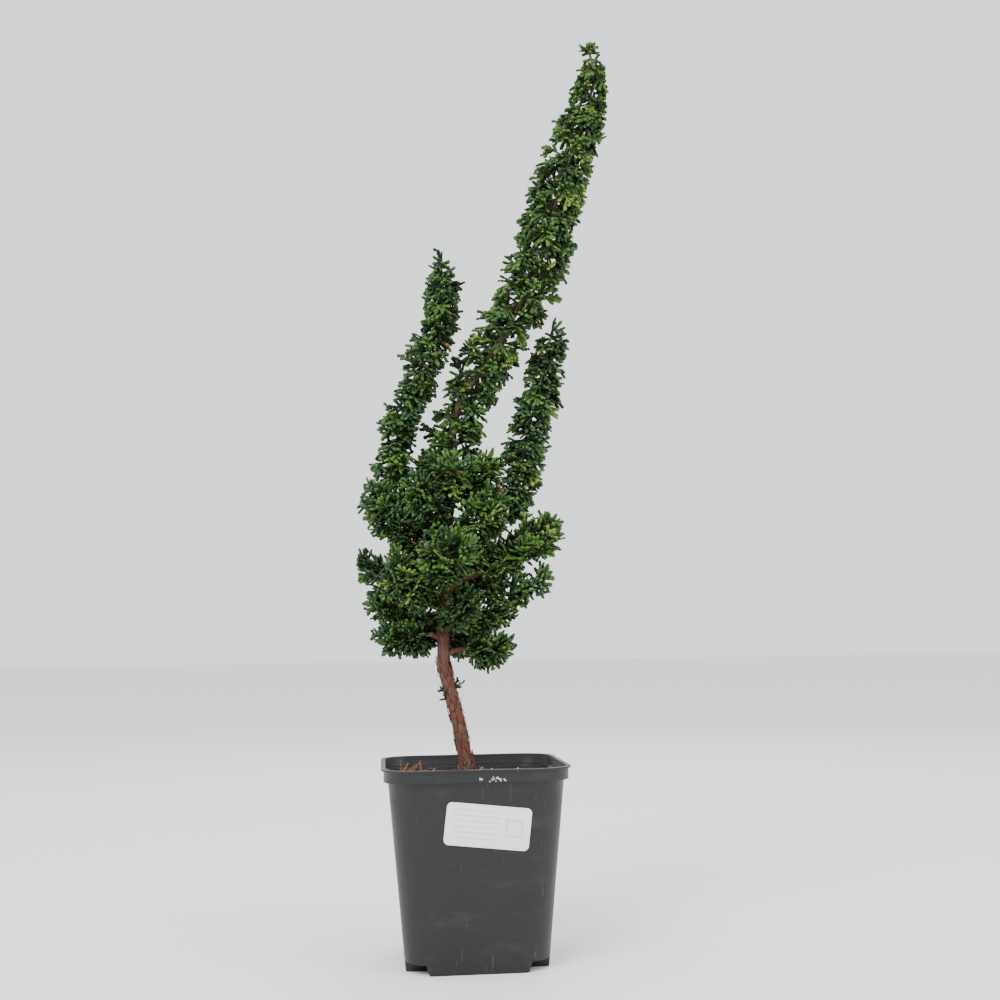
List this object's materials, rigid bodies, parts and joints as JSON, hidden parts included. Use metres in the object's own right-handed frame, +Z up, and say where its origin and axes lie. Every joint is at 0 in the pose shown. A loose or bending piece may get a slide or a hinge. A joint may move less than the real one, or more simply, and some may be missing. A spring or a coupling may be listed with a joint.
{
  "type": "sekka hinoki cypress bonsai",
  "caption": "Young hinoki cypress bonsai with a leaning stem, dense lower crown and three upright leaders, in a square tapering nursery pot.",
  "frame": {"origin": "middle of the pot's flat underside", "axes": "+X to the right along the pot's front, +Y to the back, +Z up"},
  "size_m": [0.1652, 0.1182, 0.5788],
  "materials": {
    "foliage": "matte green scale foliage",
    "bark": "rough reddish-brown bark",
    "pot": "charcoal, semi-matte",
    "soil": "moist dark potting soil",
    "label": "white sticker, satin"
  },
  "bodies": {
    "root": {"back_left": "foliage", "back_main": "foliage", "back_right": "foliage", "back_upper": "foliage", "bough_back": "bark", "bough_front": "bark", "bough_left_leader": "bark", "bough_low_left": "bark", "bough_low_right": "bark", "bough_right": "bark", "bough_right_leader": "bark", "front_left": "foliage", "front_main": "foliage", "front_right": "foliage", "front_upper": "foliage", "head_back": "foliage", "head_front": "foliage", "head_left": "foliage", "head_right": "foliage", "label": "label", "leader_01": "foliage", "leader_02": "foliage", "leader_03": "foliage", "leader_04": "foliage", "leader_05": "foliage", "leader_06": "foliage", "leader_07": "foliage", "leader_08": "foliage", "leader_09": "foliage", "leader_10": "foliage", "leader_11": "foliage", "leader_12": "foliage", "leader_13": "foliage", "leader_14": "foliage", "leader_15": "foliage", "leader_16": "foliage", "leader_17": "foliage", "leader_tip": "foliage", "left_leader": "foliage", "left_low": "foliage", "left_mid": "foliage", "left_spray": "foliage", "low_back_left": "foliage", "low_back_right": "foliage", "low_front": "foliage", "low_left": "foliage", "low_right": "foliage", "pot": "pot", "right_leader": "foliage", "right_low": "foliage", "right_main": "foliage", "right_spray": "foliage", "soil": "soil", "trunk": "bark"}
  },
  "joints": []
}
